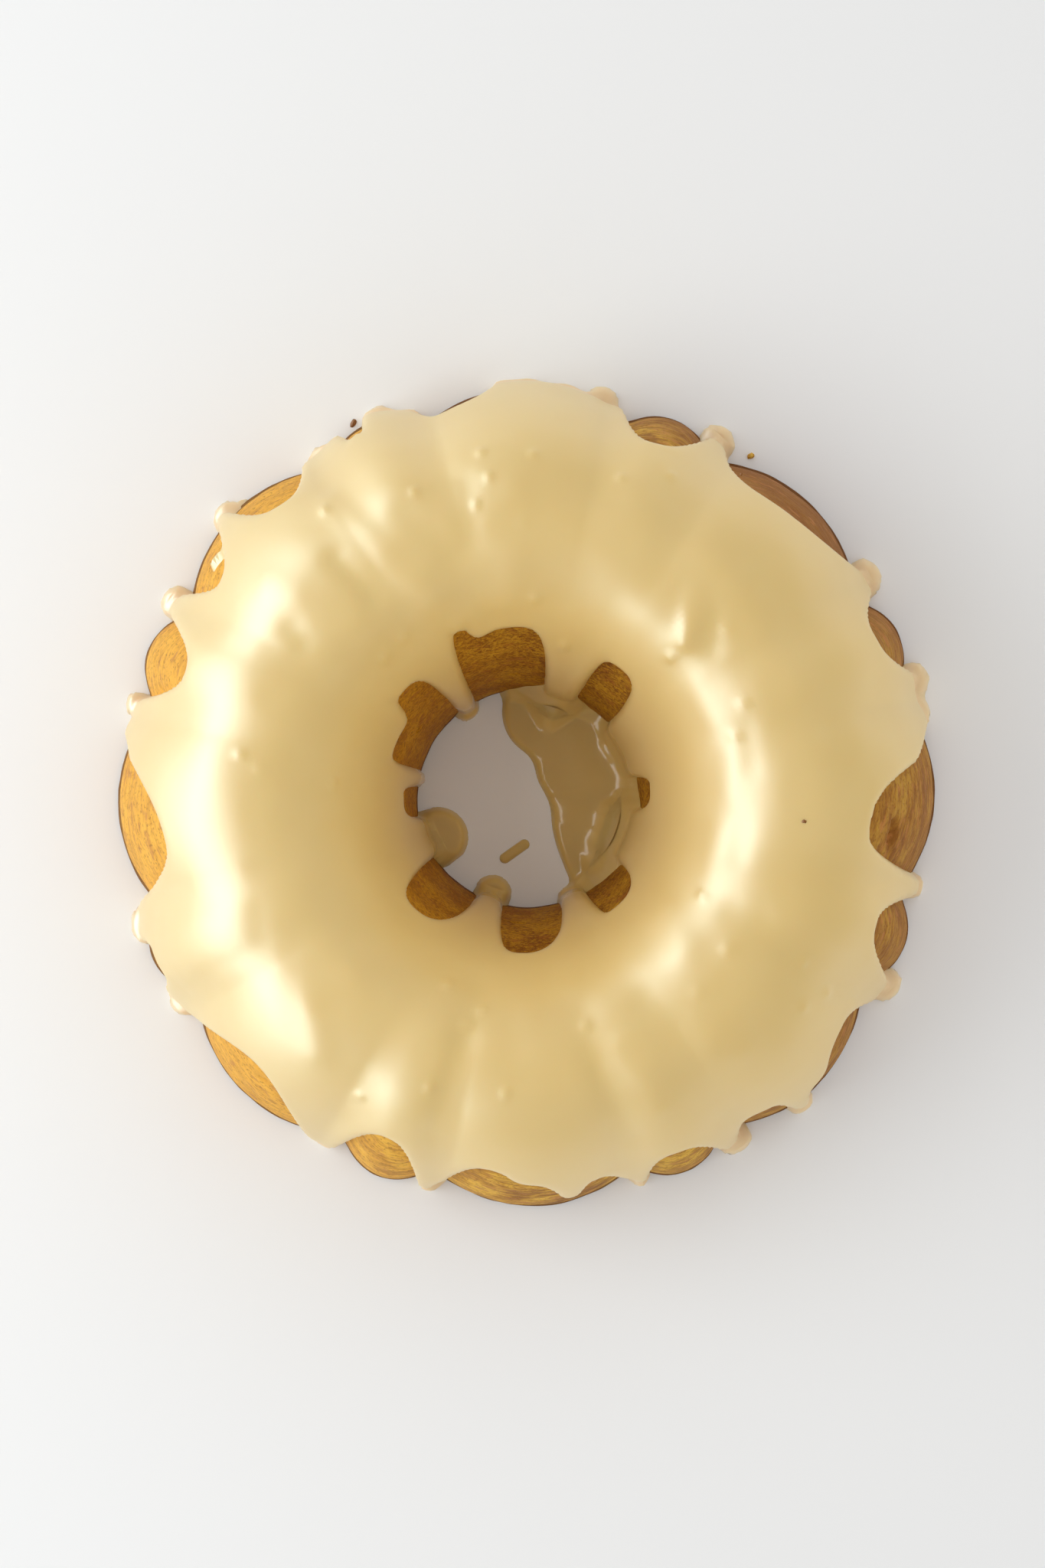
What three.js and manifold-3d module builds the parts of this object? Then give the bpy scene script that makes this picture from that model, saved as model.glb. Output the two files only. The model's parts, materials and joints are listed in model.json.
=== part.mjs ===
// A fluted ring cake under a thick poured glaze.
// The cake is one ring with sixteen lobes, eight wide and eight narrow, round a tapered hole.
// The glaze is one skin over its crest. It runs down the valleys between the lobes, outside and in
// the hole, ends in round feet on the surface below, and has gathered in a pool on one side of
// the hole. Arch-shaped windows between the runs leave the crust bare.
// Millimetres, +Z up, the axis of the ring is Z, and the cake rests on Z = 0.

import * as THREE from 'three';
import { mergeVertices } from 'three/addons/utils/BufferGeometryUtils.js';
import Module from 'manifold-3d';

// ---- the ring ----

const CAKE_RADIUS = 124;       // axis to the face of a wide lobe, at the base
const CREST_RADIUS = 76;       // axis to the highest line of the ring
const HOLE_RADIUS = 32.6;      // the hole, at the base
const CAKE_HEIGHT = 86;        // base to crest
const OUTER_FULLNESS = 2.1;    // superellipse power of the section outside the crest, 2 is an ellipse
const INNER_FULLNESS = 2.2;    // the same for the side towards the hole
const DRAFT = 0.14;            // share by which both walls have drawn in at the height of the crest

// ---- the lobes ----

const LOBE_PAIRS = 8;          // wide lobes round the cake, each followed by a narrow one
const LOBE_TURN = 1;           // degrees from +X to the middle of the first wide lobe
const NARROW_LOBE_SETBACK = 0.6;   // how far a narrow lobe's face stays inside the wide ones'
// Radius of each kind of lobe's face, and the softening of the fold between two lobes.
const CRUST_LOBES = { wideCurve: 46, narrowCurve: 17, folds: 6 };
// The glaze fills the folds, so its own lobes are flatter.
const GLAZE_LOBES = { wideCurve: 50, narrowCurve: 22, folds: 7.5 };
const FLUTES_FADE_FROM = 0.15; // where the flutes begin to fade, as a share of the way over the ring
const FLUTES_FADE_TO = 0.68;   // where they are gone, on the side towards the hole

// ---- the glaze ----

const GLAZE_GAP = 0.3;         // crust to the underside of the glaze
const GLAZE_THICKNESS = 2.7;
const EDGE_WIDTH = 5;          // how far in from its edge the glaze reaches its thickness
const POOL_DEPTH = 3.6;
const WALL_FILLET = 4.2;       // radius of the glaze where a run turns out onto the surface below
const FOOT_SPREAD = 1.5;       // how much a run widens there on each side, as a share of its way out
const POOL_BLEND = 5;          // softening where two rounds of a pool or two feet meet
const FOOT_FLATNESS = 0.85;    // height of a foot as a share of its radius
const FOOT_HEIGHT = 4.4;       // of the tallest foot
const FOOT_BLEND = 1.5;        // softening where a foot meets its run
const SUNK = 6;                // how far the skin dips inside a window, to be below the crust
const SINK_SLOPE = 1.6;        // how steeply it dips there

// Bare windows in the glaze, arches that stand on the base of the wall:
// [right corner, peak and left corner in degrees, height along the wall, fullness].
// A fullness of 2 is a half ellipse, and more has squarer shoulders.
const OUTER_WINDOWS = [
  [-11.4, -4.5, 6.6, 83, 2.7], [-5, 0.5, 10, 53, 2.4],
  [18.4, 24.6, 30.4, 60, 2.2],
  [34.8, 50.5, 59.9, 60, 2.5],
  [63.2, 69.9, 75.9, 64.5, 2.2],
  [94.8, 100.5, 105.7, 39, 2.4],
  [113.8, 115.2, 117, 41, 2.8],
  [124.3, 130.2, 136.1, 60, 2.4],
  [138.5, 144.3, 149.1, 63, 2],
  [152.8, 159.4, 165.7, 73, 2.2],
  [171.8, 177, 182.5, 40, 2.4], [172.6, 186.7, 194.6, 73, 2.2],
  [200.6, 203.8, 207.3, 39, 3],
  [212.8, 224.8, 237.2, 65.5, 1.9],
  [241.3, 247.7, 254.3, 72, 2.2],
  [257.3, 264.5, 271.5, 67, 2.2], [263.5, 270, 276.2, 60, 2.4],
  [276, 280.2, 285.4, 52.5, 1.8], [257.3, 271, 285.4, 41, 4.4],
  [287.3, 292.8, 299, 60, 2.3],
  [302.2, 307.3, 310.7, 48.5, 2.5],
  [313.4, 318, 325, 40, 3.6], [315.9, 323.4, 328.9, 53, 2.2],
  [333.4, 340, 345.7, 69, 2.2],
];
const INNER_WINDOWS = [
  [-6.3, 4.5, 10.9, 34.5, 2.5],
  [42.4, 56, 63.6, 62.5, 3.2],
  [81.1, 95.5, 112, 69, 3.3], [106.2, 112.3, 118, 73, 2.6],
  [128, 139.5, 145.8, 64.5, 3.4], [143, 157.5, 165.5, 50.5, 4.2],
  [173.7, 180.5, 190.3, 34.5, 2.6],
  [212.1, 223, 243.3, 60.5, 2.5],
  [257, 267, 287.8, 59, 2.7],
  [301.7, 309, 325.5, 49, 3.1],
];

// Round feet of the runs outside: [direction in degrees, outermost reach from the axis, radius].
const OUTER_FEET = [
  [17.1, 127.2, 5.1], [12.5, 124.6, 5.5],
  [33.2, 127.2, 5.7],
  [61.9, 127.3, 5.4],
  [79.2, 126.8, 4.5], [84.5, 125.2, 5],
  [89.8, 126.3, 4.6], [93.2, 125.6, 5],
  [107, 121.8, 3.6], [111.3, 126.6, 5.4],
  [121, 123.4, 4],
  [136.6, 128, 5.8], [134.2, 125.5, 2.4],
  [150.8, 126, 4.8],
  [166.5, 124.8, 3.6],
  [198.5, 126, 6],
  [210.6, 124.6, 4.4],
  [239.4, 121, 5],
  [256, 121.6, 4.6],
  [286.6, 121.6, 4.2],
  [301.5, 125.3, 5.4],
  [312, 126.5, 5],
  [332.6, 127, 5.2],
  [347.2, 122.6, 3.6],
];

// Round feet in the hole, and the rounds that the pool is made of: [x, y, radius].
const INNER_FEET = [
  [-27, -12, 9],
  [-10.4, -29.2, 5.6],
  [13.6, -31.2, 4],
  [-19.2, 28, 4.4],
  [-34.6, 4.9, 2.2],
];
const POOL_ROUNDS = [
  [6.5, 26, 14],
  [17.5, 10.5, 15],
  [24.5, -6, 17],
  [27, -16, 16],
  [30, -24, 12],
];

// ---- how finely the solids are divided ----

const CAKE_SPOKES = 112;       // points round the cake outside its crest, half as many inside
const CAKE_OUTER_ROWS = 9;
const CAKE_INNER_ROWS = 7;
const GLAZE_SPOKES = 160;
const GLAZE_OUTER_ROWS = 11;
const GLAZE_INNER_ROWS = 9;
const FILLET_ROWS = 2;
const SKIRT_ROWS = 2;
const POOL_ROWS = 5;
const SKIRT_REACH = 9;         // how far past the fillet the skin goes on over the surface below
const SKIN_FLOOR = -6;         // underside of the blank that the glaze is cut from

const DEGREE = Math.PI / 180;
const SMALLEST_SIZE = 1e-3;    // keeps the middle of a window's base from dividing by zero

// ---- small helpers ----

const clamp = (value, low, high) => Math.min(Math.max(value, low), high);

function smoothStep(from, to, value) {
  const share = clamp((value - from) / (to - from), 0, 1);
  return share * share * (3 - 2 * share);
}

function smoothMax(a, b, softness) {
  const share = Math.max(softness - Math.abs(a - b), 0) / softness;
  return Math.max(a, b) + share * share * softness / 4;
}

// Degrees from `middle` to `angle`, the short way round.
const turnBetween = (angle, middle) => ((angle - middle + 540) % 360 + 360) % 360 - 180;

// ---- the shape of the ring ----

// Distance from the axis to the face of one lobe, `aside` degrees off its middle.
function lobeFace(aside, peak, curve) {
  const centre = peak - curve;
  const sideways = centre * Math.sin(aside * DEGREE);
  const bulge = Math.sqrt(Math.max(curve * curve - sideways * sideways, 0));
  return centre * Math.cos(aside * DEGREE) + bulge;
}

// How deep the flutes cut in at a direction.
function fluteDepth(angle, lobes) {
  const pitch = 360 / LOBE_PAIRS;
  const fromWide = turnBetween(angle, LOBE_TURN + pitch * Math.round((angle - LOBE_TURN) / pitch));
  const fromNarrow = pitch / 2 - Math.abs(fromWide);
  const wide = lobeFace(fromWide, CAKE_RADIUS, lobes.wideCurve);
  const narrow = lobeFace(fromNarrow, CAKE_RADIUS - NARROW_LOBE_SETBACK, lobes.narrowCurve);
  return CAKE_RADIUS - smoothMax(wide, narrow, lobes.folds);
}

// The unfluted section. `way` runs from 0 at the outer base over the crest at 0.5 to 1 in the hole.
// `radius` and `height` give the point, `out` and `up` the direction straight off the surface.
function sectionPoint(way) {
  const outside = way < 0.5;
  const reach = outside ? CAKE_RADIUS - CREST_RADIUS : HOLE_RADIUS - CREST_RADIUS;
  const fullness = outside ? OUTER_FULLNESS : INNER_FULLNESS;
  const across = Math.abs(Math.cos(way * Math.PI)) ** (2 / fullness);
  const rise = Math.abs(Math.sin(way * Math.PI)) ** (2 / fullness);
  const drawnIn = 1 - DRAFT * rise;
  const out = Math.sign(reach) * CAKE_HEIGHT * across ** (fullness - 1);
  const up = Math.abs(reach) * (rise ** (fullness - 1) * drawnIn + DRAFT * across ** fullness);
  const length = Math.hypot(out, up);
  return {
    radius: CREST_RADIUS + reach * across * drawnIn,
    height: CAKE_HEIGHT * rise,
    out: out / length,
    up: up / length,
  };
}

// A point of the fluted surface, lifted straight off it by `lift`.
function ringPoint(angle, way, lift, lobes) {
  const point = sectionPoint(way);
  const fade = 1 - smoothStep(FLUTES_FADE_FROM, FLUTES_FADE_TO, way);
  const move = lift - fluteDepth(angle, lobes) * fade;
  return {
    ...point,
    radius: point.radius + point.out * move,
    height: Math.max(point.height + point.up * move, 0),
  };
}

// Lengths along the section from the base, outside and inside, for rows an even distance apart.
const LENGTH_STEPS = 200;

function wallLengths(outside) {
  const lengths = [0];
  let last = sectionPoint(outside ? 0 : 1);
  for (let step = 1; step <= LENGTH_STEPS; step += 1) {
    const share = 0.5 * step / LENGTH_STEPS;
    const next = sectionPoint(outside ? share : 1 - share);
    const stride = Math.hypot(next.radius - last.radius, next.height - last.height);
    lengths.push(lengths[step - 1] + stride);
    last = next;
  }
  return lengths;
}

const OUTER_LENGTHS = wallLengths(true);
const INNER_LENGTHS = wallLengths(false);
const OUTER_WALL = OUTER_LENGTHS[LENGTH_STEPS];
const INNER_WALL = INNER_LENGTHS[LENGTH_STEPS];

// The `way` over the ring at a length up the wall.
function wayAt(length, outside) {
  const lengths = outside ? OUTER_LENGTHS : INNER_LENGTHS;
  let step = 1;
  while (step < LENGTH_STEPS && lengths[step] < length) step += 1;
  const stride = lengths[step] - lengths[step - 1];
  const share = clamp((length - lengths[step - 1]) / stride, 0, 1);
  const half = 0.5 * (step - 1 + share) / LENGTH_STEPS;
  return outside ? half : 1 - half;
}

// ---- where the glaze lies ----

// Distance from an arch-shaped window's edge, negative inside the window.
function windowDistance([right, peak, left, top, fullness], angle, radius, length) {
  const turn = turnBetween(angle, peak);
  const halfTurn = turn < 0 ? peak - right : left - peak;
  const across = Math.abs(turn) / halfTurn;
  const rise = length / top;
  const size = Math.max((across ** fullness + rise ** fullness) ** (1 / fullness), SMALLEST_SIZE);
  const growthAcross = (across / size) ** (fullness - 1) / (halfTurn * DEGREE * radius);
  const growthUp = (rise / size) ** (fullness - 1) / top;
  return (size - 1) / Math.hypot(growthAcross, growthUp);
}

// One distance for several edges of the glaze, so that the top of a narrow run comes out round.
function joinEdges(distances) {
  const shares = distances.map((distance) => Math.max(1 - distance / EDGE_WIDTH, 0));
  return EDGE_WIDTH * (1 - Math.hypot(...shares));
}

// Distance into the joined rounds, seen from above, negative outside them.
function insideRounds(rounds, x, y) {
  return rounds
    .map(([centreX, centreY, size]) => size - Math.hypot(x - centreX, y - centreY))
    .reduce((deepest, depth) => smoothMax(deepest, depth, POOL_BLEND));
}

const OUTER_ROUNDS = OUTER_FEET.map(([direction, reach, size]) => [
  (reach - size) * Math.cos(direction * DEGREE),
  (reach - size) * Math.sin(direction * DEGREE),
  size,
]);

// The runs in the hole end in feet of their own or in the pool.
const INNER_ROUNDS = [...INNER_FEET, ...POOL_ROUNDS];

// Distance from the glaze's edge at a point of the skin, positive where there is glaze.
function insideGlaze(angle, point, outside) {
  const x = point.radius * Math.cos(angle * DEGREE);
  const y = point.radius * Math.sin(angle * DEGREE);
  const windows = outside ? OUTER_WINDOWS : INNER_WINDOWS;
  const girth = Math.max(point.radius, HOLE_RADIUS);
  const sides = windows.map((window) => (
    windowDistance(window, angle, girth, point.length) + FOOT_SPREAD * point.past
  ));
  const foot = insideRounds(outside ? OUTER_ROUNDS : INNER_ROUNDS, x, y) + point.height;
  const run = joinEdges([...sides, foot]);
  if (outside) return run;
  const pool = Math.min(insideRounds(POOL_ROUNDS, x, y), POOL_DEPTH - point.height);
  return Math.max(run, pool);
}

// Thickness of the glaze a distance inside its edge, with the edge rounded over.
function glazeLift(inside) {
  if (inside <= 0) return Math.max(inside * SINK_SLOPE, -SUNK);
  const short = 1 - Math.min(inside / EDGE_WIDTH, 1);
  return GLAZE_THICKNESS * Math.sqrt(1 - short * short);
}

// How far the feet stand off a point of the surface below the glaze, or nothing where they don't.
function footLift(rounds, angle, point) {
  const alongX = point.out * Math.cos(angle * DEGREE);
  const alongY = point.out * Math.sin(angle * DEGREE);
  const x = point.radius * Math.cos(angle * DEGREE);
  const y = point.radius * Math.sin(angle * DEGREE);
  return rounds.reduce((highest, [centreX, centreY, size]) => {
    const flatness = Math.min(FOOT_FLATNESS, FOOT_HEIGHT / size);
    const from = new THREE.Vector3(x - centreX, y - centreY, point.height / flatness);
    const along = new THREE.Vector3(alongX, alongY, point.up / flatness);
    const stretch = along.lengthSq();
    const towards = from.dot(along);
    const reach = towards * towards - stretch * (from.lengthSq() - size * size);
    return reach > 0 ? Math.max(highest, (Math.sqrt(reach) - towards) / stretch) : highest;
  }, -SUNK);
}

// ---- rows of points round the axis ----

// A ring of `spokes` points, from a function of the direction that gives radius and height.
function ring(spokes, pointAt) {
  return Array.from({ length: spokes }, (_, spoke) => {
    const angle = 360 * spoke / spokes;
    const { radius, height } = pointAt(angle);
    return new THREE.Vector3(
      radius * Math.cos(angle * DEGREE),
      radius * Math.sin(angle * DEGREE),
      height,
    );
  });
}

// Triangles between two rings, one with as many points as the other or with twice as many.
function stripBetween(first, second, triangles) {
  if (first.length < second.length) {
    const mirrored = [];
    stripBetween(second, first, mirrored);
    mirrored.forEach(([a, b, c]) => triangles.push([a, c, b]));
    return;
  }
  const ratio = first.length / second.length;
  for (let spoke = 0; spoke < second.length; spoke += 1) {
    const next = (spoke + 1) % second.length;
    const start = spoke * ratio;
    const end = (start + ratio) % first.length;
    if (ratio === 2) {
      const between = start + 1;
      triangles.push([first[start], first[between], second[spoke]]);
      triangles.push([first[between], second[next], second[spoke]]);
      triangles.push([first[between], first[end], second[next]]);
    } else {
      triangles.push([first[start], first[end], second[spoke]]);
      triangles.push([first[end], second[next], second[spoke]]);
    }
  }
}

function fanTo(centre, edge, triangles, turned) {
  edge.forEach((point, index) => {
    const next = edge[(index + 1) % edge.length];
    triangles.push(turned ? [centre, next, point] : [centre, point, next]);
  });
}

function geometryFrom(triangles) {
  const positions = new Float32Array(triangles.flatMap((triangle) => (
    triangle.flatMap((point) => [point.x, point.y, point.z])
  )));
  const geometry = new THREE.BufferGeometry();
  geometry.setAttribute('position', new THREE.BufferAttribute(positions, 3));
  return mergeVertices(geometry, 1e-4);
}

// ---- the two bodies ----

// The ring of cake, or with a gap the slightly larger form that the glaze keeps clear of.
function ringOfCake(gap) {
  const rows = [];
  for (let row = 0; row <= CAKE_OUTER_ROWS; row += 1) {
    const way = wayAt(OUTER_WALL * row / CAKE_OUTER_ROWS, true);
    rows.push(ring(CAKE_SPOKES, (angle) => ringPoint(angle, way, gap, CRUST_LOBES)));
  }
  for (let row = CAKE_INNER_ROWS - 1; row >= 0; row -= 1) {
    const way = wayAt(INNER_WALL * row / CAKE_INNER_ROWS, false);
    rows.push(ring(CAKE_SPOKES / 2, (angle) => ringPoint(angle, way, gap, CRUST_LOBES)));
  }
  if (gap > 0) {
    const lower = ({ x, y }) => new THREE.Vector3(x, y, SKIN_FLOOR);
    rows.unshift(rows[0].map(lower));
    rows.push(rows[rows.length - 1].map(lower));
  }
  const triangles = [];
  rows.forEach((row, index) => stripBetween(row, rows[(index + 1) % rows.length], triangles));
  return geometryFrom(triangles);
}

// A point of the surface that the glaze lies on: the wall, a fillet at its foot, or the floor.
// `length` is measured up the wall from its base, and is negative past the fillet on the floor.
// `past` is how far the point stands out from the wall.
function bedPoint(angle, length, outside) {
  const side = outside ? 1 : -1;
  if (length >= WALL_FILLET) {
    const wall = ringPoint(angle, wayAt(length, outside), 0, GLAZE_LOBES);
    return { ...wall, length, past: 0 };
  }
  const swing = clamp(length / WALL_FILLET, 0, 1) * Math.PI / 2;
  const height = WALL_FILLET * (1 - Math.cos(swing));
  const wall = ringPoint(angle, wayAt(height, outside), 0, GLAZE_LOBES);
  const past = WALL_FILLET * (1 - Math.sin(swing)) + Math.max(-length, 0);
  return {
    radius: Math.max(wall.radius + side * past, 0),
    height,
    out: side * Math.sin(swing),
    up: Math.cos(swing),
    length: Math.max(length, 0),
    past,
  };
}

function skinPoint(angle, length, outside) {
  const bed = bedPoint(angle, length, outside);
  const run = glazeLift(insideGlaze(angle, bed, outside));
  const foot = footLift(outside ? OUTER_ROUNDS : INNER_FEET, angle, bed);
  const lift = smoothMax(run, foot, FOOT_BLEND);
  return { radius: bed.radius + bed.out * lift, height: bed.height + bed.up * lift };
}

// The lengths up one wall at which the skin has rows, from the crest down and out over the floor.
function skinLengths(wall, wallRows, floorReach, floorRows) {
  const lengths = [];
  for (let row = 0; row < wallRows; row += 1) {
    lengths.push(wall + (WALL_FILLET - wall) * row / wallRows);
  }
  for (let row = 0; row <= FILLET_ROWS; row += 1) {
    lengths.push(WALL_FILLET * (1 - row / FILLET_ROWS));
  }
  for (let row = 1; row <= floorRows; row += 1) {
    lengths.push(-floorReach * row / floorRows);
  }
  return lengths;
}

// A blank with the glaze's upper face on top, sunk below the crust and the floor where it is bare.
function glazeBlank() {
  const floorInside = HOLE_RADIUS - WALL_FILLET;
  const outer = skinLengths(OUTER_WALL, GLAZE_OUTER_ROWS, SKIRT_REACH, SKIRT_ROWS)
    .map((length) => ring(GLAZE_SPOKES, (angle) => skinPoint(angle, length, true)));
  const inner = skinLengths(INNER_WALL, GLAZE_INNER_ROWS, floorInside, POOL_ROWS)
    .slice(1, -1)
    .map((length) => ring(GLAZE_SPOKES / 2, (angle) => skinPoint(angle, length, false)));
  const rows = [...outer.reverse(), ...inner];
  const triangles = [];
  rows.slice(1).forEach((row, index) => stripBetween(rows[index], row, triangles));
  const middle = skinPoint(0, -floorInside, false);
  fanTo(new THREE.Vector3(0, 0, middle.height), rows[rows.length - 1], triangles, false);
  const under = rows[0].map(({ x, y }) => new THREE.Vector3(x, y, SKIN_FLOOR));
  stripBetween(under, rows[0], triangles);
  fanTo(new THREE.Vector3(0, 0, SKIN_FLOOR), under, triangles, true);
  return geometryFrom(triangles);
}

// ---- joining and cutting ----

const wasm = await Module();
wasm.setup();

function toSolid(geometry) {
  return new wasm.Manifold(new wasm.Mesh({
    numProp: 3,
    vertProperties: geometry.attributes.position.array,
    triVerts: new Uint32Array(geometry.index.array),
  }));
}

function toGeometry(solid) {
  const { vertProperties, triVerts } = solid.getMesh();
  const geometry = new THREE.BufferGeometry();
  geometry.setAttribute('position', new THREE.BufferAttribute(vertProperties, 3));
  geometry.setIndex(new THREE.BufferAttribute(triVerts, 1));
  return geometry;
}

// A slab that takes away all of the blank below the surface that the cake stands on.
function floorSlab() {
  const side = 4 * CAKE_RADIUS;
  const slab = new THREE.BoxGeometry(side, side, side);
  slab.translate(0, 0, -side / 2);
  slab.deleteAttribute('normal');
  slab.deleteAttribute('uv');
  return mergeVertices(slab);
}

// The largest of the separate bodies that a cut leaves, without its loose scraps.
function largestBody(solid) {
  return solid.decompose().sort((a, b) => b.volume() - a.volume())[0];
}

function glaze() {
  const poured = toSolid(glazeBlank())
    .subtract(toSolid(ringOfCake(GLAZE_GAP)))
    .subtract(toSolid(floorSlab()));
  return toGeometry(largestBody(poured));
}

// ---- the cake ----

const FINISHES = {
  cake: { color: '#b97a2e', roughness: 0.8, metalness: 0 },
  glaze: { color: '#e2c489', roughness: 0.35, metalness: 0 },
};

function piece(name, geometry) {
  const mesh = new THREE.Mesh(geometry, new THREE.MeshStandardMaterial(FINISHES[name]));
  mesh.name = name;
  return mesh;
}

const bundtCake = new THREE.Group();
bundtCake.name = 'bundt_cake';
bundtCake.add(piece('cake', ringOfCake(0)));
bundtCake.add(piece('glaze', glaze()));

export default bundtCake;
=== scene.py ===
"""A fluted ring cake under a thick poured glaze, with its finishes, light and camera.

The shapes are worked out in millimetres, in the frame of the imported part, and turned into metres
as each mesh is made. Angles are degrees from +X. `length` is always the distance up a wall from
the base, along the section.
"""

import itertools
import json
import math

import bpy
import numpy as np
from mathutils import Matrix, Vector

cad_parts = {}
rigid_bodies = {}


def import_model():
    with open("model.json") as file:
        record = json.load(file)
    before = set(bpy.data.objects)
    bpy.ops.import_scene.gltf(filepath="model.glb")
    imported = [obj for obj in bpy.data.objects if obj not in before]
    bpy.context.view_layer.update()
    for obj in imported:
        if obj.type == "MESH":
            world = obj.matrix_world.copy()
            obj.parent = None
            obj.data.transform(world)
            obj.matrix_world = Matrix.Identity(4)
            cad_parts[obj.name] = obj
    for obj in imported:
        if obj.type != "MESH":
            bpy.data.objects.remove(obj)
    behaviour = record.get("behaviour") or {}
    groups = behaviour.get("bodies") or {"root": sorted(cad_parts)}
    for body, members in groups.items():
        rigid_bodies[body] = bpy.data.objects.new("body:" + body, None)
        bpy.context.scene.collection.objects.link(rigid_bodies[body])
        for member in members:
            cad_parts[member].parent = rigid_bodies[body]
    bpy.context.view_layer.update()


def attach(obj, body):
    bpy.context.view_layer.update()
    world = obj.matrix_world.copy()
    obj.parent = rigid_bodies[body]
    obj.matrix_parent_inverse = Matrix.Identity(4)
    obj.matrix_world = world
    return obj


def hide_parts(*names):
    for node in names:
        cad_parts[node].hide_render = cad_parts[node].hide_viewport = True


MM = 0.001
DEGREE = math.pi / 180

# ---- the ring ----

CAKE_RADIUS = 124.0
CREST_RADIUS = 76.0
HOLE_RADIUS = 32.6
CAKE_HEIGHT = 86.0
OUTER_FULLNESS = 2.1       # 2 is a half ellipse, and more has squarer shoulders
INNER_FULLNESS = 2.2
DRAFT = 0.14               # how much the section is drawn in at the top, as a share

# ---- the lobes ----

LOBE_PAIRS = 8
LOBE_TURN = 1.0            # direction of the first wide lobe
NARROW_LOBE_SETBACK = 0.6
# Radius of a wide and of a narrow lobe's face, and the softening of the fold between them.
CRUST_LOBES = (46.0, 17.0, 6.0)
GLAZE_LOBES = (50.0, 22.0, 7.5)
FLUTES_FADE_FROM = 0.15    # shares of the way over the ring
FLUTES_FADE_TO = 0.68

# ---- the crust ----

RIM_HEIGHT = 3.2           # the browned lip where the batter met the rim of the pan
RIM_STEP = 1.5             # how far the wall stands back above the lip
RIM_FADE = 26.0            # height at which the wall has come out again
RIM_SOFTNESS = 0.6
CRUST_SETBACK = 0.35       # keeps the relief of the crust inside the plain form
CRUST_SWELLS = ((15.0, 0.30), (6.0, 0.16), (2.8, 0.09))    # size and depth of each kind of lump
CRUST_SEED = 11
PIT_SHARPNESS = 1.4        # 1 is a soft dip, and more has a flatter floor and steeper sides

# Pits in the crust: [direction, length up the wall, half width, half height, depth].
OUTER_PITS = [
    [354.7, 67.0, 3.3, 2.1, 2.6], [356.3, 68.2, 1.3, 1.2, 1.2], [351.5, 64.5, 1.5, 1.0, 0.6],
    [227.3, 56.0, 1.9, 1.0, 1.1], [163.4, 48.5, 1.2, 0.8, 0.6], [176.3, 43.0, 1.1, 0.8, 0.6],
    [159.2, 70.5, 1.4, 0.8, 0.6], [144.2, 52.5, 1.2, 0.8, 0.6], [189.0, 61.5, 1.2, 0.8, 0.5],
    [183.3, 62.5, 1.3, 0.8, 0.5],
]
INNER_PITS = [
    [48.7, 47.5, 1.5, 0.5, 0.7], [96.0, 30.0, 2.0, 0.5, 0.7], [280.0, 38.0, 1.8, 0.5, 0.8],
    [266.0, 28.5, 2.2, 0.5, 0.7], [147.6, 34.0, 1.5, 0.5, 0.6], [237.5, 20.0, 1.4, 0.5, 0.6],
]

# ---- the glaze ----

GLAZE_THICKNESS = 2.7
EDGE_WIDTH = 5.0           # how far in from its edge the glaze has its full thickness
POOL_DEPTH = 3.6
WALL_FILLET = 4.2          # radius where the glaze runs from a wall onto the floor
FOOT_SPREAD = 1.5          # how much a run widens at each side, for each millimetre out
POOL_BLEND = 5.0           # softening between the rounds of the pool
FOOT_FLATNESS = 0.85       # height of a foot as a share of its radius
FOOT_HEIGHT = 4.4          # of the tallest foot
FOOT_BLEND = 2.6           # softening where a foot meets its run
CORNER_FILL = 14.0         # radius of the hollow curve from the wall of the hole into the pool
CORNER_FILL_START = -2.0   # how far outside the pool's ends that curve starts
CORNER_FILL_FADE = 9.0     # how far inside the pool's ends that curve has its full radius
CORNER_COATED = 6.0        # how far each way from a bare window's edge the curve fades
CORNER_SETBACK = 0.3       # share of the thickness that it stands back under the window
LEAST_CORNER = 0.5         # a smaller curve is left out
CORNER_BLEND = 1.6
POOL_SURFACE = 2.5
SUNK = 6.0                 # how far the skin dips where it is bare, to be below the crust
SINK_SLOPE = 1.6
GLAZE_SWELLS = ((24.0, 0.28), (11.0, 0.12))
GLAZE_FLOWS = ((15.0, 0.30), (7.0, 0.07))      # swells drawn out the way the glaze ran
FLOW_STRETCH = 2.6
SWELL_SEED = 31
FLOW_SEED = 51
GLAZE_SETBACK = 0.5        # keeps the swells inside the plain form
GLAZE_TOP = 88.6
TOP_SOFTNESS = 1.1         # depth under the top in which the relief is evened out
SWELL_FADE = 6.0           # the swells start this far in from the glaze's edge
BEAD_SIZE = (1.35, 0.75)   # half width and height of a small bead in the glaze

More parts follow.
